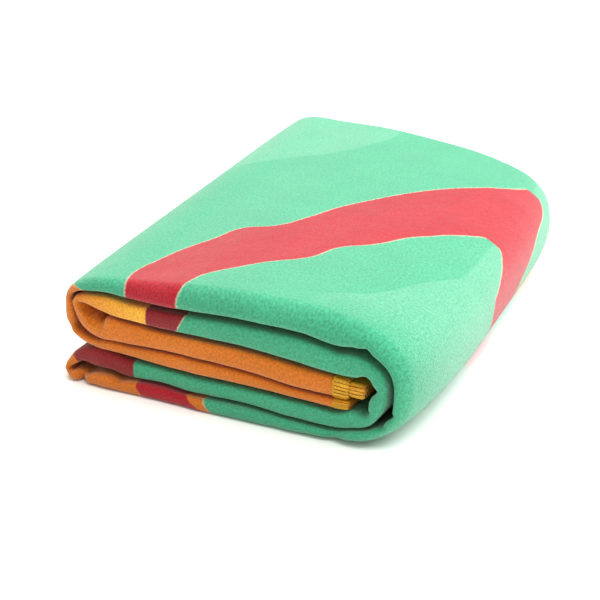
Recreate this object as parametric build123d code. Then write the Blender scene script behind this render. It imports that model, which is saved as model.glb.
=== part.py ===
from build123d import *

import os

# A quick dry towel, 800 x 1600 mm, folded for packing. Its length is halved three times into a
# strip 200 mm deep and eight layers thick. The strip is doubled, and the doubled strip is folded
# in three, so that the stitched ends of the cloth lie in the middle.
# Millimetres, +Z up. The folded front edges face -Y and the wrapped end is at +X.
# Origin: centre of the face that it rests on.

# Driving dimensions
WIDTH = 140.0  # along X, over the outer folds
DEPTH = 200.0  # along Y, an eighth of the towel's length
FOLD_GAP = 0.3  # between the bottom strips and the part that opens away from them
HEM_WIDTH = 5.0  # overlock stitching, from its needle line to the cloth's edge
LAYERS = 8  # layers of cloth in one strip

# Thickness of each folded strip, from the floor up; the weight above presses the lower ones
BOTTOM_OUTER = 7.0
BOTTOM_INNER = 7.7
MIDDLE_LOWER = 5.4
MIDDLE_UPPER = 9.4
TOP_INNER = 10.0
TOP_OUTER = 8.2

# Where the strips turn
RIGHT_BEND_LENGTH = 21.0
LEFT_BEND_LENGTH = 18.0
OUTER_BEND_WALL = 6.5  # thickness of a strip where it turns round the outside
INNER_BEND_WALL = 6.3
LEFT_BEND_WALL = 5.0
BEND_CLEARANCE = 0.2  # between the nested bends
OUTER_BEND_RADIUS = 20.0
LEFT_BEND_RADIUS = 14.0
CAVITY_RADIUS = 4.0
HEM_END_CLEARANCE = 1.0  # from the stitched ends to the start of the right bends

# Worked out
LEFT = -WIDTH / 2
RIGHT = WIDTH / 2
FRONT = -DEPTH / 2
BACK = DEPTH / 2
RIGHT_BEND = RIGHT - RIGHT_BEND_LENGTH
LEFT_BEND = LEFT + LEFT_BEND_LENGTH
HEM_END = RIGHT_BEND - HEM_END_CLEARANCE

BOTTOM_OUTER_TOP = BOTTOM_OUTER
BOTTOM_INNER_TOP = BOTTOM_OUTER_TOP + BOTTOM_INNER
MIDDLE_BASE = BOTTOM_INNER_TOP + FOLD_GAP
MIDDLE_LOWER_TOP = MIDDLE_BASE + MIDDLE_LOWER
MIDDLE_UPPER_TOP = MIDDLE_LOWER_TOP + MIDDLE_UPPER
TOP_INNER_TOP = MIDDLE_UPPER_TOP + TOP_INNER
TOP_OUTER_TOP = TOP_INNER_TOP + TOP_OUTER

HALF_FOLD = LEFT + BOTTOM_INNER_TOP / 2  # where the half-round of the half fold starts


def export_node(shape, node):
    """Writes one sub-part under its node name."""
    export_step(shape, f"parts/{node}.step")


def strip_section(base, top):
    """Y-Z section of a folded strip: a round folded edge in front and a square back."""
    height = top - base
    radius = height / 2
    middle = (base + top) / 2
    body = Pos(radius / 2, middle) * Rectangle(DEPTH - radius, height)
    return body + Pos(FRONT + radius, middle) * Circle(radius)


def back_hem_section(base, top, hem_at_top):
    """Y-Z section of the two stitched edges that lie along the back of a strip."""
    height = (top - base) * 2 / LAYERS
    middle = top - height / 2 if hem_at_top else base + height / 2
    return Pos(BACK - HEM_WIDTH / 2, middle) * Rectangle(HEM_WIDTH, height)


def along_x(section, start, end):
    """Extrudes a Y-Z section between two X positions."""
    return extrude(Plane.YZ.offset(start) * section, amount=end - start)


def along_y(section):
    """Extrudes an X-Z section over the whole depth."""
    plane = Plane(origin=(0, BACK, 0), x_dir=(1, 0, 0), z_dir=(0, -1, 0))
    return extrude(plane * section, amount=DEPTH)


def strip_panel(name, base, top, start, end, hem_at_top):
    """The straight run of a strip, and the stitched edges along its back."""
    hem = back_hem_section(base, top, hem_at_top)
    export_node(along_x(strip_section(base, top) - hem, start, end), f"{name}_panel")
    export_node(along_x(hem, start, end), f"{name}_back_hem")


def end_hem(name, base, top):
    """The stitched end of a strip, with its inner layers standing out past the outer ones."""
    layer = (top - base) / LAYERS
    outer = along_x(strip_section(base, top), HEM_END - 2 * HEM_WIDTH, HEM_END - HEM_WIDTH)
    inner = along_x(strip_section(base + layer, top - layer), HEM_END - HEM_WIDTH, HEM_END)
    export_node(outer + inner, f"{name}_end_hem")


def bend_outline(mouth, tip, base, top, radius):
    """X-Z outline of a bend, from its mouth to its tip, with both corners at the tip round."""
    outline = Pos((mouth + tip) / 2, (base + top) / 2) * Rectangle(abs(tip - mouth), top - base)
    corners = [v for v in outline.vertices() if abs(v.X - tip) < 1e-6]
    return fillet(corners, radius)


def bottom_strips():
    """The two strips that lie on the floor, and the half fold that joins them."""
    strip_panel("bottom_outer", 0, BOTTOM_OUTER_TOP, HALF_FOLD, RIGHT_BEND, True)
    strip_panel("bottom_inner", BOTTOM_OUTER_TOP, BOTTOM_INNER_TOP, HALF_FOLD, RIGHT_BEND, False)
    radius = BOTTOM_INNER_TOP / 2 - 0.01
    half_fold = bend_outline(HALF_FOLD, LEFT, 0, BOTTOM_INNER_TOP, radius)
    export_node(along_y(half_fold), "half_fold_bend")


def middle_strips():
    """The two strips in the middle, each ending in overlock stitching."""
    panel_end = HEM_END - 2 * HEM_WIDTH
    strip_panel("middle_lower", MIDDLE_BASE, MIDDLE_LOWER_TOP, LEFT_BEND, panel_end, True)
    strip_panel("middle_upper", MIDDLE_LOWER_TOP, MIDDLE_UPPER_TOP, LEFT_BEND, panel_end, False)
    end_hem("middle_lower", MIDDLE_BASE, MIDDLE_LOWER_TOP)
    end_hem("middle_upper", MIDDLE_LOWER_TOP, MIDDLE_UPPER_TOP)


def top_strips():
    """The two strips on top."""
    strip_panel("top_inner", MIDDLE_UPPER_TOP, TOP_INNER_TOP, LEFT_BEND, RIGHT_BEND, True)
    strip_panel("top_outer", TOP_INNER_TOP, TOP_OUTER_TOP, LEFT_BEND, RIGHT_BEND, False)


def left_bends():
    """The nested bends that join the top strips to the middle ones."""
    inner_radius = (TOP_INNER_TOP - MIDDLE_LOWER_TOP) / 2 - 0.01
    inner = bend_outline(
        LEFT_BEND, LEFT + LEFT_BEND_WALL, MIDDLE_LOWER_TOP, TOP_INNER_TOP, inner_radius
    )
    outer = bend_outline(LEFT_BEND, LEFT, MIDDLE_BASE, TOP_OUTER_TOP, LEFT_BEND_RADIUS)
    export_node(along_y(inner), "left_inner_bend")
    export_node(along_y(outer - inner), "left_outer_bend")


def right_bends():
    """The nested bends that join the bottom strips to the top ones, and flatten when it opens."""
    wall = OUTER_BEND_WALL
    outer = bend_outline(RIGHT_BEND, RIGHT, 0, TOP_OUTER_TOP, OUTER_BEND_RADIUS)
    inside = bend_outline(
        RIGHT_BEND, RIGHT - wall, BOTTOM_OUTER_TOP, TOP_INNER_TOP, OUTER_BEND_RADIUS - wall
    )
    inner_tip = RIGHT - wall - BEND_CLEARANCE
    inner = bend_outline(
        RIGHT_BEND, inner_tip, BOTTOM_OUTER_TOP, TOP_INNER_TOP, OUTER_BEND_RADIUS - wall
    )
    cavity = bend_outline(
        RIGHT_BEND, inner_tip - INNER_BEND_WALL, BOTTOM_INNER_TOP, MIDDLE_UPPER_TOP, CAVITY_RADIUS
    )
    export_node(along_y(outer - inside), "right_outer_bend")
    export_node(along_y(inner - cavity), "right_inner_bend")


def main():
    os.makedirs("parts", exist_ok=True)
    bottom_strips()
    middle_strips()
    top_strips()
    left_bends()
    right_bends()


main()
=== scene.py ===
"""A quick dry towel, folded for packing: printed cloth, overlocked edges and a plain stage."""

import math

import bmesh
import bpy
import numpy as np
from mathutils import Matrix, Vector


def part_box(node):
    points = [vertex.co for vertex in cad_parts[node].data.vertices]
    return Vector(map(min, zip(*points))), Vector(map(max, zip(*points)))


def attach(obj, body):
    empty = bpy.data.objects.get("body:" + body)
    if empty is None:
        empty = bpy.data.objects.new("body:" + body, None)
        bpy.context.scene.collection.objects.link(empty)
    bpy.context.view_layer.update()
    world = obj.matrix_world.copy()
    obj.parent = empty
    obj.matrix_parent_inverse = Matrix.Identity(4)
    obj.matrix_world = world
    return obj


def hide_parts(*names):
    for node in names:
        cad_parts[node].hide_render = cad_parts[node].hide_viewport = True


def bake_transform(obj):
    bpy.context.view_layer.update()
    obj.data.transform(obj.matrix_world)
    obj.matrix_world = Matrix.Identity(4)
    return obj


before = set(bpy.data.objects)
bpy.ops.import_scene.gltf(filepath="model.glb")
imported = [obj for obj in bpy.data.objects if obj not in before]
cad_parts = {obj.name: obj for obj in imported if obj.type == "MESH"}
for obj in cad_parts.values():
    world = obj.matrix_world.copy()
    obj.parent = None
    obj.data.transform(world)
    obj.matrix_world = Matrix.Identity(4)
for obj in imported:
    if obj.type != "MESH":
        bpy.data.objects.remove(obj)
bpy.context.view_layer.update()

bl_info = {
    "name": "Folded Quick Dry Towel",
    "version": (1, 0, 0),
    "blender": (4, 5, 0),
    "location": "3D View > Sidebar > Towel",
    "description": "Folds a printed microfibre towel and sews its overlocked edges",
    "category": "Add Mesh",
}

MM = 0.001

# ---------------------------------------------------------------------------------------------
# The towel as it is cut, and the way that it is folded
# ---------------------------------------------------------------------------------------------

TOWEL_WIDTH = 0.8
TOWEL_LENGTH = 1.6
LAYERS = 8  # the length is halved three times
DEPTH = TOWEL_LENGTH / LAYERS / MM  # depth of the folded strip, in mm
FRONT = -DEPTH / 2
BACK = DEPTH / 2

# Where each eighth of the length lies in the strip, counted from its outer side
LAYER_OF_EIGHTH = (7, 0, 3, 4, 5, 2, 1, 6)
REFERENCE_THICKNESS = 8.0  # of a strip, in mm
CLOTH_SHARE = 0.84  # of a layer's room that the cloth fills

# Heights between the strips, in mm, from the frame and from the floor up
LEVELS = [
    0.0,
    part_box("bottom_outer_panel")[1].z / MM,
    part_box("middle_lower_panel")[0].z / MM,
    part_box("middle_upper_panel")[0].z / MM,
    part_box("top_inner_panel")[0].z / MM,
    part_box("top_outer_panel")[0].z / MM,
    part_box("top_outer_panel")[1].z / MM,
]

# X of the places along a strip where the levels are known, and how far each level lies off its
# height there, in mm: the strips sag at the left end and swell in the middle
STATIONS = (-44.0, -31.0, -18.0, 2.0, 25.0, 38.0)
SAG = (
    (0.0, 0.0, 0.0, 0.0, 0.0, 0.3),
    (-1.4, -0.8, -1.5, -1.1, -2.0, -1.9),
    (-0.7, -1.4, -1.6, -1.7, -2.0, -2.3),
    (-0.9, -0.5, -0.4, -1.0, -3.1, -3.4),
    (-0.5, -1.3, -1.3, -1.3, -2.8, -3.9),
    (-1.8, -2.0, -1.7, -1.0, -1.3, -3.3),
    (-3.4, -1.9, -0.5, 0.3, 0.3, -1.2),
)
GAPS = (0.0, 0.9, 1.3, 0.7, 1.2, 2.0, 0.0)  # under each level, down to the strip below it, in mm

# The bends: x, z and strip thickness, in mm, along the way that the strip runs
LEFT_INNER_BEND = (
    (-50.5, 24.1, 9.4), (-56.0, 24.4, 9.6), (-60.6, 26.2, 8.4), (-63.6, 29.6, 5.6),
    (-65.3, 33.2, 3.4), (-61.6, 34.3, 3.8), (-56.0, 33.9, 5.8), (-50.5, 33.3, 7.2),
)
RIGHT_INNER_BEND = (
    (44.5, 30.2, 8.8), (49.1, 29.7, 6.0), (52.3, 26.8, 5.6), (53.1, 22.7, 5.0),
    (52.2, 17.8, 5.8), (50.6, 13.0, 4.4), (48.0, 10.3, 5.2), (44.5, 9.8, 7.0),
)
HALF_FOLD = (
    (-52.0, 10.6, 7.6), (-59.5, 11.0, 7.6), (-65.0, 10.4, 5.6), (-68.8, 7.4, 3.6),
    (-70.9, 4.4, 2.6), (-69.0, 2.4, 3.4), (-65.4, 2.6, 4.4), (-62.2, 2.1, 3.2),
    (-57.6, 2.8, 5.0), (-52.0, 2.8, 5.0), (-48.0, 2.1, 3.6),
)
RIGHT_OUTER_BEND = (
    (44.5, 3.4, 4.8), (50.7, 5.2, 4.8), (56.2, 9.5, 4.4), (59.0, 15.2, 4.2), (59.7, 21.5, 4.2),
    (59.4, 27.4, 4.2), (57.4, 32.8, 5.0), (53.0, 37.4, 6.4), (48.5, 39.9, 7.5), (44.8, 41.0, 8.0),
)
LEFT_OUTER_BEND = (
    (-52.0, 41.2, 5.6), (-58.6, 40.3, 5.0), (-64.4, 38.6, 3.6), (-68.4, 35.2, 2.8),
    (-68.9, 29.8, 4.0), (-68.8, 25.4, 4.6), (-67.9, 21.4, 4.2), (-64.6, 18.5, 3.6),
    (-58.6, 16.6, 4.0), (-52.0, 16.8, 4.6),
)

# The strip's two stitched ends, in the middle of the roll
UPPER_END = (47.5, 20.6, 7.6)
LOWER_END = (42.6, 14.7, 3.0)
HEM_WIDTH = 5.0  # of the overlock stitching, in mm
END_STEP = 5.2  # from the outer layers' stitched edge to that of the inner ones, in mm

# Creases that the bends force on their inner side: x and z on the strip's middle line, half width,
# share of the inner half that they bite off, and how far back they draw the front, in mm
CREASES = (
    (-60.6, 27.6, 5.2, 0.0, 10.0),
    (-55.6, 24.4, 1.5, 0.75, 7.0),
    (-66.9, 21.6, 1.5, 0.6, 3.0),
    (-70.9, 4.0, 2.0, 0.3, 2.0),
    (53.6, 22.3, 1.5, 0.6, 3.0),
    (50.6, 12.2, 1.5, 0.6, 3.0),
    (58.6, 13.4, 1.5, 0.6, 3.0),
    (54.4, 8.0, 1.6, 0.5, 3.0),
    (49.2, 39.4, 1.8, 0.3, 2.0),
)
# Pleats right through the strip's folded edge: x and z, half width and depth, in mm
PLEATS = (
    (-63.7, 2.4, 1.3, 3.2),
    (-68.3, 22.2, 1.1, 1.0),
    (38.0, 2.9, 2.4, 1.2),
    (-70.4, 3.4, 1.5, 1.2),
)

# Cuts between the pieces along the strip, as the X at which each run of the strip is cut, in mm
CUT_RIGHT = 44.0
CUT_LEFT = -50.0


def level(number, x):
    """Height of the level between two strips at x, in mm."""
    return LEVELS[number] + float(np.interp(x, STATIONS, SAG[number]))


def run_of_strip(number, leftwards, stations=STATIONS):
    """Points of a strip between two levels: x, z of its middle, and thickness."""
    points = []
    for x in sorted(stations, reverse=leftwards):
        low = level(number, x)
        high = level(number + 1, x) - GAPS[number + 1]
        points.append((x, (low + high) / 2, high - low))
    return points


def route_points():
    """The way of the strip, from its upper stitched end to its lower one."""
    points = [UPPER_END]
    points += run_of_strip(3, True)
    points += LEFT_INNER_BEND
    points += run_of_strip(4, False)
    points += RIGHT_INNER_BEND
    points += run_of_strip(1, True)
    points += HALF_FOLD
    points += run_of_strip(0, False)
    points += RIGHT_OUTER_BEND
    points += run_of_strip(5, True)
    points += LEFT_OUTER_BEND
    points += run_of_strip(2, False)
    points.append(LOWER_END)
    return np.array(points)


class Route:
    """The smooth way of the strip in the X-Z plane, by distance along it in mm."""

    STEP = 0.5

    def __init__(self, points):
        curve = self.smooth(points)
        reach = np.concatenate(([0], np.cumsum(np.hypot(*np.diff(curve[:, :2], axis=0).T))))
        self.length = float(reach[-1])
        self.along = np.linspace(0, self.length, int(self.length / self.STEP) + 1)
        self.x, self.z, self.thickness = (
            self.relaxed(np.interp(self.along, reach, curve[:, i])) for i in range(3)
        )
        heading = np.unwrap(np.arctan2(np.gradient(self.z), np.gradient(self.x)))
        self.turn = -self.relaxed(np.gradient(heading, self.along))
        self.out_x = np.sin(heading)
        self.out_z = -np.cos(heading)

    @staticmethod
    def smooth(points, pieces=24):
        """A Catmull-Rom curve through the points, with knots by the root of their distance."""
        ends = (2 * points[0] - points[1], 2 * points[-1] - points[-2])
        p = np.vstack((ends[0], points, ends[1]))
        knots = np.concatenate(([0], np.cumsum(np.hypot(*np.diff(p[:, :2], axis=0).T) ** 0.5)))
        rows = []
        for i in range(1, len(p) - 2):
            k0, k1, k2, k3 = knots[i - 1 : i + 3]
            k = np.linspace(k1, k2, pieces, endpoint=False)[:, None]
            a1 = (k1 - k) / (k1 - k0) * p[i - 1] + (k - k0) / (k1 - k0) * p[i]
            a2 = (k2 - k) / (k2 - k1) * p[i] + (k - k1) / (k2 - k1) * p[i + 1]
            a3 = (k3 - k) / (k3 - k2) * p[i + 1] + (k - k2) / (k3 - k2) * p[i + 2]
            b1 = (k2 - k) / (k2 - k0) * a1 + (k - k0) / (k2 - k0) * a2
            b2 = (k3 - k) / (k3 - k1) * a2 + (k - k1) / (k3 - k1) * a3
            rows.append((k2 - k) / (k2 - k1) * b1 + (k - k1) / (k2 - k1) * b2)
        rows.append(p[-2][None])
        return np.vstack(rows)

    @staticmethod
    def relaxed(values, reach=4):
        """Evens out values over a few steps, keeping the ends."""
        weights = np.hanning(2 * reach + 3)[1:-1]
        padded = np.pad(values, reach, mode="reflect", reflect_type="odd")
        return np.convolve(padded, weights / weights.sum(), mode="valid")

    def at(self, values, along):
        """One of the route's rows of values at a distance along it."""
        return np.interp(along, self.along, values)

    def nearest(self, x, z):
        """Distance along the route of its point nearest to x, z."""
        return float(self.along[np.argmin(np.hypot(self.x - x, self.z - z))])

    def cut(self, x, near):
        """Distance along the route at which it passes x, near a share of its length."""
        sign = np.sign(self.x - x)
        crossings = self.along[:-1][sign[:-1] != sign[1:]]
        return float(crossings[np.argmin(np.abs(crossings - near * self.length))])


class Section:
    """One sheet halved three times: a strip's section at right angles to its way."""

    ROUNDNESS = 0.62  # below 1, a fold's edge is squarer than an ellipse
    FRONT_NEST = 1.0  # how far each nested fold lies behind the one round it, in mm
    BACK_SLIP = (0.6, 1.6, 1.2)  # how far each fold at the back stops short, in mm
    END_SLIP = (0.4, 1.4)  # and the two stitched edges
    DEEPNESS = 0.62  # depth of a fold's round for its half height
    LEAST_ROUND = 0.5  # depth of the tightest fold's round, in mm
    OUTER_STEPS, INNER_STEPS = 12, 8  # rows round a fold

    def __init__(self, fine, coarse):
        share = [0.5 - (layer + 0.5) / LAYERS for layer in LAYER_OF_EIGHTH]
        rows = []  # depth, share of the thickness
        start = BACK - self.END_SLIP[0]
        for eighth in range(LAYERS):
            forwards = eighth % 2 == 0
            last = eighth == LAYERS - 1
            spacing = fine if eighth < 2 else coarse
            tip, reach = (BACK - self.END_SLIP[1], 0.0) if last else self.fold_at(eighth, share)
            stop = tip + reach if forwards else tip - reach
            count = max(2, round(abs(stop - start) / spacing))
            depths = np.linspace(start, stop, count, endpoint=last)
            rows += [(depth, share[eighth]) for depth in depths]
            if last:
                break
            steps = self.OUTER_STEPS if eighth == 0 else self.INNER_STEPS
            for i in range(steps):
                angle = math.pi * i / steps
                across = abs(math.cos(angle)) ** self.ROUNDNESS * math.copysign(1, math.cos(angle))
                out = abs(math.sin(angle)) ** self.ROUNDNESS
                middle = (share[eighth] + share[eighth + 1]) / 2
                depth = tip + (1 - out) * (reach if forwards else -reach)
                rows.append((depth, middle + (share[eighth] - middle) * across))
            start = stop
        self.depth, self.share = np.array(rows).T
        across = self.share * REFERENCE_THICKNESS
        steps = np.hypot(np.diff(self.depth), np.diff(across))
        self.flat = np.concatenate(([0], np.cumsum(steps)))
        self.flat *= LAYERS * DEPTH / self.flat[-1]
        step_depth, step_across = np.gradient(self.depth), np.gradient(across)
        size = np.hypot(step_depth, step_across)
        self.out_depth = -step_across / size
        self.out_across = step_depth / size

    def fold_at(self, eighth, share):
        """Where the fold after an eighth has its tip, and how deep its round is, in mm."""
        half = abs(share[eighth] - share[eighth + 1]) / 2 * REFERENCE_THICKNESS
        reach = max(self.LEAST_ROUND, self.DEEPNESS * half)
        if eighth % 2 == 0:
            nest = (LAYERS - 1 - round(2 * half * LAYERS / REFERENCE_THICKNESS)) // 2
            return FRONT + nest * self.FRONT_NEST, reach
        return BACK - self.BACK_SLIP[eighth // 2], reach

    def at(self, flat):
        """Depth, share of the thickness and outward direction, at a distance along the cloth."""
        rows = (self.depth, self.share, self.out_depth, self.out_across)
        return [np.interp(flat, self.flat, values) for values in rows]


ROUTE = Route(route_points())
SECTION = Section(4.0, 10.0)
FLAT_SCALE = TOWEL_WIDTH / MM / ROUTE.length


SINK = 0.0030  # share of the height lost at the back for each mm to the right of SINK_FROM
SINK_FROM = -20.0
SINK_BEND = 1.3  # above 1, most of it is lost far back
RIGHT_SWELL, RIGHT_SIDE = 9.0, 62.0  # how far a side bulges halfway back, and its X, in mm
LEFT_SWELL, LEFT_SIDE = 1.5, 66.0
SWELL_SQUARENESS = 4.5  # above 2, the bulge is flat in the middle and falls off at the ends


def settle(x, y, z):
    """The whole roll's shape: it sinks towards the back right, and its wrapped end swells."""
    backwards = np.clip((y - FRONT) / DEPTH, 0, 1) ** SINK_BEND
    z = z * (1 - SINK * (x - SINK_FROM) * backwards)
    swell = np.clip(1 - np.abs(y / BACK) ** SWELL_SQUARENESS, 0, 1)
    x = x + RIGHT_SWELL * swell * np.clip(x / RIGHT_SIDE, 0, 1) ** 3
    x = x - LEFT_SWELL * swell * np.clip(-x / LEFT_SIDE, 0, 1) ** 3
    return x, z


def wave(values, length, seed):
    """Smooth waves, of about unit height, along a distance in mm."""
    total = np.zeros_like(values)
    for i in range(1, 5):
        total += np.sin(2 * math.pi * values * i / length + seed * i * i) / i
    return total / 1.6


FRONT_MARGIN = 0.5  # from the front to the folded edges, in mm
FRONT_WAVES = ((0.45, 171.0, 2.1), (0.2, 37.0, 0.4))  # height and length in mm, and seed
LOWEST_OUT = 2.0  # how far the strip on the floor stands out in front, in mm
LOWEST_BELOW, LOWEST_SPAN = 7.0, 3.0  # height at which it starts to, and over which, in mm


def strip_front(along):
    """How far the strip's folded front edge stands behind the front, in mm."""
    lowest = np.clip((LOWEST_BELOW - ROUTE.at(ROUTE.z, along)) / LOWEST_SPAN, 0, 1)
    front = FRONT_MARGIN - LOWEST_OUT * lowest
    for height, length, seed in FRONT_WAVES:
        front = front + height * wave(along, length, seed)
    for x, z, width, depth in PLEATS:
        front = front + depth * np.exp(-(((along - ROUTE.nearest(x, z)) / width) ** 2))
    return front


def crease(along, across, thickness):
    """The bends' creases: how far off the middle a place is now, and how far drawn back."""
    drawn = np.zeros_like(across)
    for x, z, width, bite, pull in CREASES:
        at = ROUTE.nearest(x, z)
        inner = np.clip(2 * across * np.sign(ROUTE.at(ROUTE.turn, at)) / thickness, 0, 1)
        dent = np.exp(-(((along - at) / width) ** 2))
        across = across * (1 - bite * dent * inner)
        drawn = drawn + pull * dent * inner**1.2
    return across, drawn


# Shares of the strip's length, and how far its outer front edge is rounded off there, in mm
OUTER_ROUND = ((0.5, 0.58, 0.65, 0.73, 0.79, 0.85, 0.9), (0.0, 0.6, 3.6, 4.6, 2.8, 1.2, 0.4))
ROUND_FROM = -0.4  # where across the strip it starts, from -1 at the inner side to 1 at the outer
ROUND_BEND = 1.7


def outer_round(along, across, thickness):
    """How far the strip's outer front edge is rounded off, in mm: most at the wrapped end."""
    reach = np.interp(along / ROUTE.length, *OUTER_ROUND)
    outwards = np.clip((2 * across / thickness - ROUND_FROM) / (1 - ROUND_FROM), 0, 1)
    return reach * outwards**ROUND_BEND


# The hollow behind a strip's front edge: mm behind the front at which it starts, is deepest,
# starts to end and ends; the share of the thickness that it takes; and how soon it drops
HOLLOW = (1.5, 10.5, 25.0, 70.0)
HOLLOW_SHARE = 0.24
HOLLOW_BEND = 0.8


def lip(along, across, depth):
    """Thins the strips behind their folded front edge, on the sides that face another strip."""
    start, deepest, level_end, end = HOLLOW
    back = depth - FRONT
    behind = np.clip((back - start) / (deepest - start), 0, 1)
    behind = behind * np.clip((end - back) / (end - level_end), 0, 1)
    facing = (across < 0) | (along < ROUTE.length / 2)
    return 1 - HOLLOW_SHARE * facing * behind**HOLLOW_BEND


INNER_PRESS = 0.6  # how hard a bend presses the layers on its inner side together
FRONT_SHAPES_END = -20.0  # Y behind which the front edge's shapes don't reach, in mm


def place(along, flat, height):
    """Folds points of the flat towel: along its width and its length, and off its middle, in mm."""
    thickness = ROUTE.at(ROUTE.thickness, along)
    squeeze = thickness / REFERENCE_THICKNESS
    depth, share, out_depth, out_across = SECTION.at(flat)
    across = share * thickness + height * squeeze * out_across
    past_edge = np.clip(-flat, 0, None) + np.clip(flat - LAYERS * DEPTH, 0, None)
    depth = depth + height * squeeze * out_depth + past_edge
    across = across * lip(along, across, depth)
    bend = np.clip(ROUTE.at(ROUTE.turn, along) * across, 0, None)
    across = across / (1 + INNER_PRESS * bend)
    near_front = np.clip((FRONT_SHAPES_END - depth) / (FRONT_SHAPES_END - FRONT), 0, 1) ** 2
    rounded = outer_round(along, across, thickness)
    across, drawn = crease(along, across, thickness)
    depth = depth + near_front * (strip_front(along) + rounded + drawn)
    x = ROUTE.at(ROUTE.x, along) + across * ROUTE.at(ROUTE.out_x, along)
    z = ROUTE.at(ROUTE.z, along) + across * ROUTE.at(ROUTE.out_z, along)
    x, z = settle(x, depth, z)
    return np.stack((x, depth, z), 1) * MM


EDGE_WAVE = (0.5, 333.0, 1.3)  # height and length of the stitched edge's waves in mm, and seed
STEP_SPAN = 20.0  # of the cloth's length over which one step turns into the other, in mm


def end_step(flat, end):
    """How far the cloth's stitched edge lies back from the strip's end, in mm."""
    outer = np.clip((2 * DEPTH - flat) / STEP_SPAN, 0, 1) if end == "start" else 0
    height, length, seed = EDGE_WAVE
    return END_STEP * outer + np.abs(height * wave(flat, length, seed))


def corner_values(mesh, values):
    """Spreads a value for each vertex over the mesh's face corners."""
    corner = np.empty(len(mesh.loops), int)
    mesh.loops.foreach_get("vertex_index", corner)
    return values[corner]


def coordinates(mesh):
    """A mesh's vertices as an array, one row each."""
    points = np.empty(len(mesh.vertices) * 3)
    mesh.vertices.foreach_get("co", points)
    return points.reshape(-1, 3)


def finished(name, mesh, points, uv, material):
    """Puts a mesh's points in place, gives it its UV map and material, and makes it a piece."""
    mesh.vertices.foreach_set("co", points.ravel())
    layer = mesh.uv_layers.new(name="Cut")
    layer.data.foreach_set("uv", corner_values(mesh, uv).ravel())
    mesh.update()
    mesh.polygons.foreach_set("use_smooth", [True] * len(mesh.polygons))
    mesh.set_sharp_from_angle(angle=math.radians(60))
    mesh.materials.append(material)
    piece = bpy.data.objects.new(name, mesh)
    bpy.context.scene.collection.objects.link(piece)
    return piece


def make_cloth(name, start, stop, settings, stitched=None):
    """A closed piece of the folded cloth between two distances along the route.

    The flat piece is a grid with a thickness. Its lines are then laid where the fold puts them.
    """
    columns = max(4, round((stop - start) * MM / settings.grid_spacing))
    rows = len(SECTION.flat) - 1
    bm = bmesh.new()
    bmesh.ops.create_grid(bm, x_segments=columns, y_segments=rows, size=1.0)
    bmesh.ops.solidify(bm, geom=bm.faces[:], thickness=0.1)
    bmesh.ops.recalc_face_normals(bm, faces=bm.faces[:])
    mesh = bpy.data.meshes.new(name)
    bm.to_mesh(mesh)
    bm.free()
    grid = coordinates(mesh)
    flat = SECTION.flat[np.rint((grid[:, 1] + 1) / 2 * rows).astype(int)]
    middle = (grid[:, 2].min() + grid[:, 2].max()) / 2
    height = np.sign(grid[:, 2] - middle) * CLOTH_SHARE * REFERENCE_THICKNESS / LAYERS / 2
    first = start + (end_step(flat, stitched) if stitched == "start" else 0)
    last = stop - (end_step(flat, stitched) if stitched == "stop" else 0)
    along = first + (grid[:, 0] + 1) / 2 * (last - first)
    uv = np.stack((along * FLAT_SCALE, flat), 1) * MM
    return finished(name, mesh, place(along, flat, height), uv, cloth_material(settings))


# One leg of the overlock thread, from its loop on the outer face round the edge to the inner face:
# distance in from the edge as a share of the hem, height off the cloth's middle in mm, and
# distance along the edge as a share of the pitch
LEG = (
    (0.93, 0.50, 0.95), (1.02, 0.66, 0.45), (0.92, 0.70, 0.0), (0.52, 0.70, 0.0),
    (0.12, 0.66, -0.1), (-0.06, 0.0, -0.3), (0.12, -0.60, -0.5), (0.52, -0.64, -0.5),
    (0.96, -0.55, -0.5),
)
LEG_SIDES = 5
LEG_FLATNESS = 0.55  # thickness of the laid thread for its width
LEG_SPACING = 4.0  # between the upright rods that the legs are bent from
UNEVEN = (0.16, 1.7, 9.1, 0.7)  # how much the legs differ: height, pace, length and seed


def flat_legs(count):
    """A row of upright rods along X, with as many rings as a leg has points."""
    bm = bmesh.new()
    bmesh.ops.create_cone(
        bm, segments=LEG_SIDES, radius1=1.0, radius2=1.0, depth=1.0, cap_ends=True, cap_tris=False
    )
    upright = [e for e in bm.edges if abs(e.verts[0].co.z - e.verts[1].co.z) > 0.5]
    bmesh.ops.subdivide_edges(bm, edges=upright, cuts=len(LEG) - 2)
    bmesh.ops.recalc_face_normals(bm, faces=bm.faces[:])
    rod = bpy.data.meshes.new("rod")
    bm.to_mesh(rod)
    bm.free()
    holder = bpy.data.objects.new("rod", rod)
    bpy.context.scene.collection.objects.link(holder)
    array = holder.modifiers.new("row", "ARRAY")
    array.count = count
    array.use_relative_offset = False
    array.use_constant_offset = True
    array.constant_offset_displace = (LEG_SPACING, 0.0, 0.0)
    evaluated = holder.evaluated_get(bpy.context.evaluated_depsgraph_get())
    mesh = bpy.data.meshes.new_from_object(evaluated)
    bpy.data.objects.remove(holder)
    bpy.data.meshes.remove(rod)
    return mesh


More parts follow.
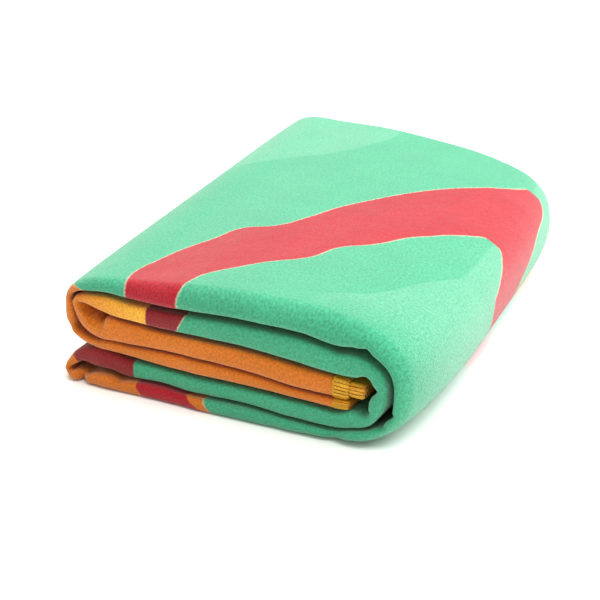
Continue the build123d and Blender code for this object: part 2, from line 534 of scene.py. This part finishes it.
def make_stitching(name, first, last, settings, edge):
    """Overlock stitching along an edge of the towel, from first to last mm along that edge.

    edge is "start" or "stop" for the ends of the strip, "near" or "far" for the edges at its back.
    """
    pitch = settings.stitch_pitch / MM
    count = int((last - first) / pitch)
    mesh = flat_legs(count)
    mesh.name = name
    rod = coordinates(mesh)
    leg = np.rint(rod[:, 0] / LEG_SPACING)
    ring = (rod[:, 2] + 0.5) * (len(LEG) - 1)
    inwards, lift, sideways = (np.interp(ring, range(len(LEG)), v) for v in np.array(LEG).T)
    hem = settings.hem_width / MM
    # the leg's own outward direction, from the way that it runs at each ring
    path = np.array(LEG)[:, :2] * (hem, 1.0)
    run = np.gradient(path, axis=0)
    run /= np.hypot(run[:, 0], run[:, 1])[:, None]
    out_in = np.interp(ring, range(len(LEG)), run[:, 1])
    out_lift = np.interp(ring, range(len(LEG)), -run[:, 0])
    height, pace, length, seed = UNEVEN
    uneven = height * wave(leg * pace, length, seed)
    thick = settings.thread_width / MM / 2 * LEG_FLATNESS
    off = rod[:, 1] * thick
    inwards = inwards * hem * (1 + 0.12 * uneven) + out_in * off
    lift = lift * (1 + 0.5 * uneven) + out_lift * off
    edgewise = first + (leg + 0.5 + sideways + 0.6 * uneven) * pitch
    edgewise = edgewise + (rod[:, 0] - LEG_SPACING * leg) * settings.thread_width / MM / 2
    if edge in ("start", "stop"):
        flat = np.clip(edgewise, 0, LAYERS * DEPTH)
        inwards = inwards + end_step(flat, edge)
        along = inwards if edge == "start" else ROUTE.length - inwards
    else:
        along = np.clip(edgewise, 0, ROUTE.length)
        flat = inwards if edge == "near" else LAYERS * DEPTH - inwards
    uv = np.stack((ring / (len(LEG) - 1) * hem * 2 + leg * 3.7, rod[:, 1]), 1) * MM
    return finished(name, mesh, place(along, flat, lift), uv, thread_material(settings))


# ---------------------------------------------------------------------------------------------
# Materials
# ---------------------------------------------------------------------------------------------


def add_node(tree, kind, inputs=(), **settings):
    """A new node with its settings, and its inputs set or linked by name or number."""
    node = tree.nodes.new(kind)
    for name, value in settings.items():
        setattr(node, name, value)
    for key, value in dict(inputs).items():
        if isinstance(value, bpy.types.NodeSocket):
            tree.links.new(value, node.inputs[key])
        else:
            node.inputs[key].default_value = value
    return node


def maths(tree, operation, *values):
    """A Math node's result."""
    node = add_node(tree, "ShaderNodeMath", dict(enumerate(values)), operation=operation)
    return node.outputs[0]


def ramp(tree, value, low, high, start=0.0, stop=1.0):
    """A value spread from low..high to start..stop, and held outside."""
    inputs = {0: value, 1: low, 2: high, 3: start, 4: stop}
    return add_node(tree, "ShaderNodeMapRange", inputs).outputs[0]


def mix(tree, factor, below, above, blend="MIX"):
    """Two colours mixed."""
    inputs = {0: factor, 6: below, 7: above}
    return add_node(tree, "ShaderNodeMix", inputs, data_type="RGBA", blend_type=blend).outputs[2]


def opaque(colour):
    """A colour with full alpha, as the colour sockets take it."""
    return (*colour, 1.0)


# Printed edges that cross the outer fold: distance along the width at each distance along the
# length, in metres. The band runs up from the front, turns at its tip and comes down again.
EDGE_ALONG = (0.4, 0.7)
EDGE_FLAT = (0.19, 0.41)
# A separate program worked most of these out from places picked along the print.
BAND_NEAR = (
    (0.1900, 0.6453), (0.2039, 0.6453), (0.2136, 0.6465), (0.2267, 0.6432), (0.2387, 0.6390),
    (0.2507, 0.6328), (0.2640, 0.6265), (0.2694, 0.6162), (0.2838, 0.6072), (0.2981, 0.6012),
    (0.3141, 0.5918), (0.3311, 0.5815), (0.3476, 0.5712), (0.3615, 0.5621), (0.3711, 0.5554),
    (0.3870, 0.5482),
)
BAND_INNER = (
    (0.1900, 0.6236), (0.2041, 0.6230), (0.2063, 0.6218), (0.2159, 0.6191), (0.2267, 0.6102),
    (0.2348, 0.6029), (0.2459, 0.5906), (0.2599, 0.5846), (0.2696, 0.5755), (0.2858, 0.5671),
    (0.2973, 0.5593), (0.3084, 0.5524), (0.3145, 0.5483), (0.3170, 0.5446),
)
BAND_TURNED = (
    (0.1900, 0.4285), (0.2004, 0.4370), (0.2780, 0.5120), (0.2850, 0.5325), (0.2899, 0.5346),
    (0.3061, 0.5404), (0.3133, 0.5437), (0.3183, 0.5492),
)
BAND_FAR = (
    (0.1900, 0.4149), (0.2033, 0.4161), (0.3050, 0.5140), (0.3503, 0.5351), (0.3803, 0.5405),
    (0.3859, 0.5432),
)
BAND_TIP = 0.3854
BAND_JOINED = 0.3139
PALE_FAR = (
    (0.2900, 0.7150), (0.3327, 0.6600), (0.3473, 0.6453), (0.3623, 0.6271), (0.3801, 0.6169),
    (0.4034, 0.6105),
)
PALE_NEAR = (
    (0.1950, 0.5795), (0.2162, 0.5747), (0.2302, 0.5613), (0.2536, 0.5528), (0.2730, 0.5462),
)
DEEP_RED = (
    (0.2798, 0.6012), (0.2923, 0.5936), (0.3128, 0.5756), (0.3312, 0.5623),
)

# Printed edges that run straight across the folds, in metres along the width, and how far they
# lean for each metre of the length
FRONT_FOLD = 0.198
ORANGE_TO_MAROON = 0.1496
MAROON_TO_MINT = (0.1652, -0.55)
MINT_TO_MAROON = 0.3504
MAROON_TO_ORANGE = 0.3763
ORANGE_TO_MINT = (0.4433, 0.47)
MINT_TO_ORANGE = (0.6638, 0.68)


def printed_edge(tree, length_share, points):
    """Where a printed edge lies along the width, as a curve over the distance along the length."""
    node = add_node(tree, "ShaderNodeFloatCurve", {"Value": length_share})
    low, high = EDGE_ALONG
    start, stop = EDGE_FLAT
    spots = [
        ((flat - start) / (stop - start), (along - low) / (high - low)) for flat, along in points
    ]
    curve = node.mapping.curves[0]
    while len(curve.points) < len(spots):
        curve.points.new(0.5, 0.5)
    for point, spot in zip(curve.points, spots):
        point.location = spot
    node.mapping.extend = "HORIZONTAL"
    node.mapping.update()
    return maths(tree, "MULTIPLY_ADD", node.outputs["Value"], high - low, low)


PRINT_BLEED = 0.00025  # half the width over which one printed colour runs into the next


def beyond(tree, value, edge):
    """1 where a value is past an edge, 0 before it, with a print's slightly soft step between."""
    return ramp(tree, maths(tree, "SUBTRACT", value, edge), -PRINT_BLEED, PRINT_BLEED)


def close_to(tree, value, edge, reach):
    """1 on an edge, falling to 0 at a distance from it."""
    distance = maths(tree, "ABSOLUTE", maths(tree, "SUBTRACT", value, edge))
    return ramp(tree, distance, reach * 0.5, reach, 1.0, 0.0)


REPEAT = 0.2  # of the print: the depth of the folded strip
WASH = (0.62, 0.80, 0.70, 1.0)  # colour that lightens the mint's pale patches
WASH_SHARE = 0.08
DEEP_RED_SHARE = 0.12  # of maroon in the band's darker side
OUTLINE_SHARE = 0.45
AMBER_SPAN = (0.115, 0.148)  # where along the width the orange turns to amber
PALE_FAR_FROM = 0.31  # distance along the length from which the far pale patch shows
PALE_NEAR_FROM = (0.206, 0.225)  # and over which the near one fades in
PALE_NEAR_PAST = 0.5  # distance along the width from which the near one shows
OUTLINES_FROM = 0.21  # distance along the length from which two of the outlines show


def print_colour(tree, settings, along, flat):
    """The towel's print: mint with wide bands and patches in red, maroon and orange."""
    # the print repeats as a mirror image in each quarter of the length
    folded = maths(tree, "PINGPONG", maths(tree, "SUBTRACT", flat, FRONT_FOLD), REPEAT)
    length = maths(tree, "ADD", folded, FRONT_FOLD)
    low, high = EDGE_FLAT
    share = ramp(tree, length, low, high)
    near, inner, turned, far, pale_far, pale_near, deep = (
        printed_edge(tree, share, points)
        for points in (
            BAND_NEAR, BAND_INNER, BAND_TURNED, BAND_FAR, PALE_FAR, PALE_NEAR, DEEP_RED,
        )
    )
    before_tip = beyond(tree, BAND_TIP, length)
    joined = beyond(tree, length, BAND_JOINED)

    def between(first, last):
        return maths(tree, "MULTIPLY", beyond(tree, along, first), beyond(tree, last, along))

    first_arm = between(inner, near)
    second_arm = between(far, turned)
    both = maths(tree, "MULTIPLY", between(far, near), joined)
    band = maths(tree, "MAXIMUM", maths(tree, "MAXIMUM", first_arm, second_arm), both)
    band = maths(tree, "MULTIPLY", band, before_tip)

    past_front = maths(tree, "SUBTRACT", length, REPEAT)
    maroon_end, low_end, corner = (
        maths(tree, "MULTIPLY_ADD", past_front, lean, place)
        for place, lean in (MAROON_TO_MINT, ORANGE_TO_MINT, MINT_TO_ORANGE)
    )
    maroon_end = maths(tree, "MAXIMUM", maroon_end, ORANGE_TO_MAROON)
    mint, red = opaque(settings.mint), opaque(settings.red)
    pale = mix(tree, WASH_SHARE, mint, WASH)
    past_far = maths(
        tree, "MULTIPLY", beyond(tree, along, pale_far), beyond(tree, length, PALE_FAR_FROM)
    )
    before_near = between(PALE_NEAR_PAST, pale_near)
    before_near = maths(tree, "MULTIPLY", before_near, ramp(tree, length, *PALE_NEAR_FROM))
    colour = mix(tree, maths(tree, "MAXIMUM", past_far, before_near), mint, pale)
    colour = mix(tree, beyond(tree, maroon_end, along), colour, opaque(settings.maroon))
    amber = ramp(tree, along, *AMBER_SPAN)
    orange_end = mix(tree, amber, opaque(settings.orange), opaque(settings.amber))
    colour = mix(tree, beyond(tree, ORANGE_TO_MAROON, along), colour, orange_end)
    colour = mix(tree, between(MINT_TO_MAROON, low_end), colour, opaque(settings.maroon))
    colour = mix(tree, between(MAROON_TO_ORANGE, low_end), colour, opaque(settings.orange))
    colour = mix(tree, beyond(tree, along, corner), colour, opaque(settings.orange))
    deep_red = mix(tree, DEEP_RED_SHARE, red, opaque(settings.maroon))
    reds = mix(tree, beyond(tree, along, deep), red, deep_red)
    colour = mix(tree, band, colour, reds)

    past_fold = beyond(tree, length, OUTLINES_FROM)
    reach = settings.outline_width / 2
    outlines = [
        maths(tree, "MULTIPLY", close_to(tree, along, edge, reach), valid)
        for edge, valid in (
            (near, before_tip),
            (inner, beyond(tree, BAND_JOINED, length)),
            (turned, maths(tree, "MULTIPLY", beyond(tree, BAND_JOINED, length), past_fold)),
            (far, maths(tree, "MULTIPLY", before_tip, past_fold)),
        )
    ]
    outlines += [close_to(tree, along, edge, reach) for edge in (maroon_end, corner, low_end)]
    outline = outlines[0]
    for other in outlines[1:]:
        outline = maths(tree, "MAXIMUM", outline, other)
    outline = maths(tree, "MULTIPLY", outline, OUTLINE_SHARE)
    return mix(tree, outline, colour, opaque(settings.outline))


SHEEN_WHITE = (1.0, 0.98, 0.95)


def cloth_material(settings):
    """Printed microfibre with a short brushed nap."""
    material = bpy.data.materials.get("brushed_print")
    if material:
        return material
    material = bpy.data.materials.new("brushed_print")
    material.use_nodes = True
    tree = material.node_tree
    shader = tree.nodes["Principled BSDF"]
    place_on_cloth = add_node(tree, "ShaderNodeUVMap", uv_map="Cut").outputs[0]

    def grain(scale, detail, roughness=0.6, distortion=0.0):
        inputs = {
            "Vector": place_on_cloth, "Scale": scale, "Detail": detail,
            "Roughness": roughness, "Distortion": distortion,
        }
        return add_node(tree, "ShaderNodeTexNoise", inputs, noise_dimensions="2D").outputs[0]

    tufts = grain(1150.0, 2.0, 0.7, 0.2)
    fibres = grain(4200.0, 2.0, 0.7)
    patches = grain(42.0, 3.0)
    parts = add_node(tree, "ShaderNodeSeparateXYZ", {0: place_on_cloth})
    fuzz = maths(tree, "MULTIPLY_ADD", tufts, 0.0009, -0.00045)
    along = maths(tree, "ADD", parts.outputs["X"], fuzz)
    flat = maths(tree, "ADD", parts.outputs["Y"], fuzz)
    colour = print_colour(tree, settings, along, flat)
    shade = ramp(tree, tufts, 0.3, 0.7, 1.0 - settings.nap_depth, 1.0 + 0.6 * settings.nap_depth)
    shade = maths(tree, "MULTIPLY", shade, ramp(tree, fibres, 0.3, 0.7, 0.93, 1.06))
    shade = maths(tree, "MULTIPLY", shade, ramp(tree, patches, 0.3, 0.7, 0.96, 1.03))
    grey = add_node(tree, "ShaderNodeCombineColor", {0: shade, 1: shade, 2: shade}).outputs[0]
    colour = mix(tree, 1.0, colour, grey, "MULTIPLY")
    tree.links.new(colour, shader.inputs["Base Color"])
    roughness = ramp(tree, fibres, 0.2, 0.8, 0.82, 1.0)
    tree.links.new(roughness, shader.inputs["Roughness"])
    shader.inputs["Specular IOR Level"].default_value = 0.15
    shader.inputs["Sheen Weight"].default_value = settings.sheen
    shader.inputs["Sheen Roughness"].default_value = 0.5
    shader.inputs["Sheen Tint"].default_value = opaque(SHEEN_WHITE)
    nap = maths(tree, "ADD", tufts, maths(tree, "MULTIPLY", fibres, 0.5))
    coarse = add_node(
        tree, "ShaderNodeBump", {"Strength": 0.25, "Distance": 0.003, "Height": patches}
    )
    bump = add_node(
        tree, "ShaderNodeBump",
        {"Strength": 0.6, "Distance": 0.0005, "Height": nap, "Normal": coarse.outputs[0]},
    )
    tree.links.new(bump.outputs[0], shader.inputs["Normal"])
    return material


def thread_material(settings):
    """Glossy twisted overlock thread."""
    material = bpy.data.materials.get("overlock_thread")
    if material:
        return material
    material = bpy.data.materials.new("overlock_thread")
    material.use_nodes = True
    tree = material.node_tree
    shader = tree.nodes["Principled BSDF"]
    place_on_thread = add_node(tree, "ShaderNodeUVMap", uv_map="Cut").outputs[0]
    turned = add_node(
        tree, "ShaderNodeMapping", {"Vector": place_on_thread, "Rotation": (0.0, 0.0, 0.7)}
    ).outputs[0]
    ply = add_node(
        tree, "ShaderNodeTexWave",
        {"Vector": turned, "Scale": 500.0, "Distortion": 1.0, "Detail": 1.0},
    ).outputs["Fac"]
    legs = add_node(
        tree, "ShaderNodeTexNoise",
        {"Vector": place_on_thread, "Scale": 260.0, "Detail": 2.0}, noise_dimensions="2D",
    ).outputs[0]
    ply_shade = ramp(tree, ply, 0.0, 1.0, 0.78, 1.08)
    shade = maths(tree, "MULTIPLY", ply_shade, ramp(tree, legs, 0.3, 0.7, 0.8, 1.15))
    grey = add_node(tree, "ShaderNodeCombineColor", {0: shade, 1: shade, 2: shade}).outputs[0]
    colour = mix(tree, 1.0, opaque(settings.thread), grey, "MULTIPLY")
    tree.links.new(colour, shader.inputs["Base Color"])
    tree.links.new(ramp(tree, ply, 0.0, 1.0, 0.55, 0.4), shader.inputs["Roughness"])
    shader.inputs["Sheen Weight"].default_value = 0.05
    bump = add_node(tree, "ShaderNodeBump", {"Strength": 0.5, "Distance": 0.0002, "Height": ply})
    tree.links.new(bump.outputs[0], shader.inputs["Normal"])
    return material


# ---------------------------------------------------------------------------------------------
# Settings
# ---------------------------------------------------------------------------------------------


def colour_property(name, description, default):
    return bpy.props.FloatVectorProperty(
        name=name, description=description, default=default, size=3, subtype="COLOR", min=0, max=1
    )


def length_property(name, description, default):
    return bpy.props.FloatProperty(
        name=name, description=description, default=default, min=0.0001, unit="LENGTH", precision=5
    )


class TowelSettings(bpy.types.PropertyGroup):
    mint: colour_property("Mint", "Ground colour of the print", (0.063, 0.362, 0.212))
    red: colour_property("Red", "Colour of the print's wide band", (0.410, 0.009, 0.025))
    maroon: colour_property("Maroon", "Colour of the print's dark patches", (0.25, 0.014, 0.020))
    orange: colour_property("Orange", "Colour of the print's orange ends", (0.61, 0.180, 0.018))
    amber: colour_property("Amber", "Colour of the orange by the maroon", (0.86, 0.44, 0.05))
    outline: colour_property("Outline", "Pale line along the printed edges", (0.62, 0.62, 0.44))
    thread: colour_property("Thread", "Colour of the overlock thread", (0.66, 0.34, 0.010))
    outline_width: length_property("Outline width", "Width of the pale printed line", 0.0010)
    hem_width: length_property("Hem width", "Width of the overlock stitching", HEM_WIDTH * MM)
    stitch_pitch: length_property("Stitch pitch", "Distance from one stitch to the next", 0.0013)
    thread_width: length_property("Thread width", "Width of the laid thread", 0.00105)
    grid_spacing: length_property("Grid spacing", "Distance between the cloth's grid lines", 0.0016)
    nap_depth: bpy.props.FloatProperty(
        name="Nap depth", description="How much the nap's tufts differ in shade", default=0.27,
        min=0, max=1, subtype="FACTOR",
    )
    sheen: bpy.props.FloatProperty(
        name="Sheen", description="Soft shine of the brushed fibres", default=0.42,
        min=0, max=1, subtype="FACTOR",
    )


class TowelStageSettings(bpy.types.PropertyGroup):
    floor: colour_property("Floor", "Colour of the floor", (0.9, 0.9, 0.9))
    floor_size: length_property("Floor size", "Side of the square floor", 6.0)
    sky: bpy.props.FloatProperty(
        name="Sky", description="Strength of the light from all round", default=0.70, min=0
    )
    key: bpy.props.FloatProperty(
        name="Key", description="Power of the lamp overhead", default=18.5, min=0, unit="POWER"
    )
    lens: bpy.props.FloatProperty(
        name="Lens", description="Focal length of the camera", default=72.0, min=1,
        subtype="DISTANCE_CAMERA",
    )
    azimuth: bpy.props.FloatProperty(
        name="Azimuth", description="Direction of the camera round the towel",
        default=math.radians(24.3), subtype="ANGLE",
    )
    elevation: bpy.props.FloatProperty(
        name="Elevation", description="Height of the camera above the floor, as an angle",
        default=math.radians(25.8), subtype="ANGLE",
    )
    distance: length_property("Distance", "From the camera to the point it looks at", 0.517)


# ---------------------------------------------------------------------------------------------
# Pieces
# ---------------------------------------------------------------------------------------------

# The wrapped right bends, whose pieces keep their place without a body: their heights where the
# turn begins and ends, in metres, and how much those heights fall towards the back
RIGHT_BLENDS = {"right_outer": (0.009, 0.0327), "right_inner": (0.0139, 0.0242)}


def follow(piece, body):
    """Joins a piece to its body; a piece of the right bends is joined to none, its place baked into
    its mesh.
    """
    if body in RIGHT_BLENDS:
        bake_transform(piece)
    else:
        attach(piece, body)


# Each stretch of the strip: its body, the X at which it ends, in mm, a share of the strip's length
# near that end, and what it rests on. A stretch begins where the one before it ends.
STRETCHES = {
    "middle_upper": ("roll", CUT_LEFT, 0.13, ["middle_lower_cloth"]),
    "left_inner": ("roll", CUT_LEFT, 0.17, ["left_outer_cloth"]),
    "top_inner": ("roll", CUT_RIGHT, 0.29, ["middle_upper_cloth"]),
    "right_inner": ("right_inner", CUT_RIGHT, 0.35, ["right_outer_cloth"]),
    "bottom_inner": ("bottom", CUT_LEFT, 0.46, ["bottom_outer_cloth"]),
    "half_fold": ("bottom", CUT_LEFT, 0.52, ["floor"]),
    "bottom_outer": ("bottom", CUT_RIGHT, 0.64, ["floor"]),
    "right_outer": ("right_outer", CUT_RIGHT, 0.72, ["floor"]),
    "top_outer": ("roll", CUT_LEFT, 0.83, ["top_inner_cloth"]),
    "left_outer": ("roll", CUT_LEFT, 0.90, ["bottom_inner_cloth"]),
    "middle_lower": ("roll", None, 1.0, ["bottom_inner_cloth"]),
}
STITCHED_ENDS = {"middle_upper": "start", "middle_lower": "stop"}


def stretch_span(name):
    """Distances along the route at which a stretch begins and ends, in mm."""
    names = list(STRETCHES)
    ends = []
    for stretch in names[: names.index(name) + 1]:
        _, x, share, _ = STRETCHES[stretch]
        ends.append(ROUTE.length if x is None else ROUTE.cut(x, share))
    return (ends[-2] if len(ends) > 1 else 0.0), ends[-1]


def cloth_stretch(name, settings):
    body, _, _, support = STRETCHES[name]
    start, stop = stretch_span(name)
    piece = make_cloth(name + "_cloth", start, stop, settings, STITCHED_ENDS.get(name))
    follow(piece, body)
    node = name + ("_panel" if name + "_panel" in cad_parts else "_bend")
    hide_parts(node)


class TOWEL_OT_middle_strips(bpy.types.Operator):
    """Makes the two strips in the middle of the roll, where the towel's ends are"""

    bl_idname = "towel.middle_strips"
    bl_label = "Middle Strips"

    def execute(self, context):
        for name in ("middle_upper", "middle_lower"):
            cloth_stretch(name, context.scene.towel)
        return {"FINISHED"}


class TOWEL_OT_top_strips(bpy.types.Operator):
    """Makes the two strips at the top of the roll"""

    bl_idname = "towel.top_strips"
    bl_label = "Top Strips"

    def execute(self, context):
        for name in ("top_inner", "top_outer"):
            cloth_stretch(name, context.scene.towel)
        return {"FINISHED"}


class TOWEL_OT_bottom_strips(bpy.types.Operator):
    """Makes the two strips at the bottom of the roll and the half fold that joins them"""

    bl_idname = "towel.bottom_strips"
    bl_label = "Bottom Strips"

    def execute(self, context):
        for name in ("bottom_inner", "half_fold", "bottom_outer"):
            cloth_stretch(name, context.scene.towel)
        return {"FINISHED"}


class TOWEL_OT_left_bends(bpy.types.Operator):
    """Makes the bends of the left fold"""

    bl_idname = "towel.left_bends"
    bl_label = "Left Bends"

    def execute(self, context):
        for name in ("left_inner", "left_outer"):
            cloth_stretch(name, context.scene.towel)
        return {"FINISHED"}


class TOWEL_OT_right_bends(bpy.types.Operator):
    """Makes the bends of the right fold"""

    bl_idname = "towel.right_bends"
    bl_label = "Right Bends"

    def execute(self, context):
        for name in ("right_inner", "right_outer"):
            cloth_stretch(name, context.scene.towel)
        return {"FINISHED"}


class TOWEL_OT_end_stitching(bpy.types.Operator):
    """Sews the towel's two long edges, which are the strip's ends in the middle of the roll"""

    bl_idname = "towel.end_stitching"
    bl_label = "End Stitching"

    def execute(self, context):
        settings = context.scene.towel
        for stretch, edge in STITCHED_ENDS.items():
            piece = make_stitching(stretch + "_end_stitching", 0, LAYERS * DEPTH, settings, edge)
            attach(piece, "roll")
            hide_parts(stretch + "_end_hem")
        return {"FINISHED"}


class TOWEL_OT_back_stitching(bpy.types.Operator):
    """Sews the towel's two short edges, which lie together at the back of every strip"""

    bl_idname = "towel.back_stitching"
    bl_label = "Back Stitching"

    def execute(self, context):
        settings = context.scene.towel
        for name, (body, _, _, _) in STRETCHES.items():
            start, stop = stretch_span(name)
            if name in STITCHED_ENDS:
                start = max(start, END_STEP)
                stop = min(stop, ROUTE.length - END_STEP)
            for edge in ("near", "far"):
                piece = make_stitching(f"{name}_{edge}_stitching", start, stop, settings, edge)
                follow(piece, body)
                if edge == "near" and name + "_back_hem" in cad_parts:
                    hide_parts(name + "_back_hem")
        return {"FINISHED"}


LOOK_AT = Vector((-0.0202, 0.0, -0.0014))  # the point in the middle of the view
LAMP_PLACE = (0.3, 0.18, 0.9)
LAMP_SIZE = 1.2
LAMP_COLOUR = (0.97, 1.0, 1.0)
SKY_COLOUR = (1.0, 0.98, 0.90, 1.0)


class TOWEL_OT_stage(bpy.types.Operator):
    """Makes the floor, the soft studio light and the camera"""

    bl_idname = "towel.stage"
    bl_label = "Stage"

    def execute(self, context):
        scene = context.scene
        settings = scene.towel_stage
        self.floor(scene, settings)
        self.light(scene, settings)
        self.camera(scene, settings)
        scene.view_settings.view_transform = "Standard"
        scene.view_settings.look = "Medium High Contrast"
        return {"FINISHED"}

    def floor(self, scene, settings):
        """A plain pale floor at height 0."""
        bm = bmesh.new()
        bmesh.ops.create_grid(bm, x_segments=1, y_segments=1, size=settings.floor_size / 2)
        mesh = bpy.data.meshes.new("floor")
        bm.to_mesh(mesh)
        bm.free()
        material = bpy.data.materials.new("floor")
        material.use_nodes = True
        shader = material.node_tree.nodes["Principled BSDF"]
        shader.inputs["Base Color"].default_value = opaque(settings.floor)
        shader.inputs["Roughness"].default_value = 0.9
        shader.inputs["Specular IOR Level"].default_value = 0.1
        mesh.materials.append(material)
        floor = bpy.data.objects.new("floor", mesh)
        scene.collection.objects.link(floor)

    def light(self, scene, settings):
        """Even light from all round, and a wide lamp overhead."""
        world = bpy.data.worlds.new("studio")
        world.use_nodes = True
        sky = world.node_tree.nodes["Background"]
        sky.inputs["Color"].default_value = SKY_COLOUR
        sky.inputs["Strength"].default_value = settings.sky
        scene.world = world
        lamp = bpy.data.lights.new("key", "AREA")
        lamp.energy = settings.key
        lamp.size = LAMP_SIZE
        lamp.color = LAMP_COLOUR
        key = bpy.data.objects.new("key", lamp)
        key.location = LAMP_PLACE
        key.rotation_euler = (-key.location).to_track_quat("-Z", "Y").to_euler()
        scene.collection.objects.link(key)

    def camera(self, scene, settings):
        """A camera in front and to the right, looking down."""
        camera = bpy.data.cameras.new("camera")
        camera.lens = settings.lens
        camera.sensor_width = 36
        back = Vector((
            math.sin(settings.azimuth) * math.cos(settings.elevation),
            -math.cos(settings.azimuth) * math.cos(settings.elevation),
            math.sin(settings.elevation),
        ))
        eye = bpy.data.objects.new("camera", camera)
        eye.location = LOOK_AT + back * settings.distance
        eye.rotation_euler = (-back).to_track_quat("-Z", "Y").to_euler()
        scene.collection.objects.link(eye)
        scene.camera = eye


STEPS = (
    TOWEL_OT_middle_strips,
    TOWEL_OT_left_bends,
    TOWEL_OT_top_strips,
    TOWEL_OT_right_bends,
    TOWEL_OT_bottom_strips,
    TOWEL_OT_end_stitching,
    TOWEL_OT_back_stitching,
    TOWEL_OT_stage,
)


class TOWEL_PT_panel(bpy.types.Panel):
    """The folded towel's settings and the steps that make it"""

    bl_idname = "TOWEL_PT_panel"
    bl_label = "Folded Towel"
    bl_space_type = "VIEW_3D"
    bl_region_type = "UI"
    bl_category = "Towel"

    def draw(self, context):
        for group in (context.scene.towel, context.scene.towel_stage):
            column = self.layout.column()
            for name in group.bl_rna.properties.keys():
                if name not in ("rna_type", "name"):
                    column.prop(group, name)
        for step in STEPS:
            self.layout.operator(step.bl_idname)


CLASSES = (TowelSettings, TowelStageSettings, *STEPS, TOWEL_PT_panel)


def register():
    for each in CLASSES:
        bpy.utils.register_class(each)
    bpy.types.Scene.towel = bpy.props.PointerProperty(type=TowelSettings)
    bpy.types.Scene.towel_stage = bpy.props.PointerProperty(type=TowelStageSettings)


def unregister():
    del bpy.types.Scene.towel_stage
    del bpy.types.Scene.towel
    for each in reversed(CLASSES):
        bpy.utils.unregister_class(each)


def main():
    """Makes the towel and its stage."""
    register()
    for step in STEPS:
        group, name = step.bl_idname.split(".")
        getattr(getattr(bpy.ops, group), name)()


if __name__ == "__main__":
    main()
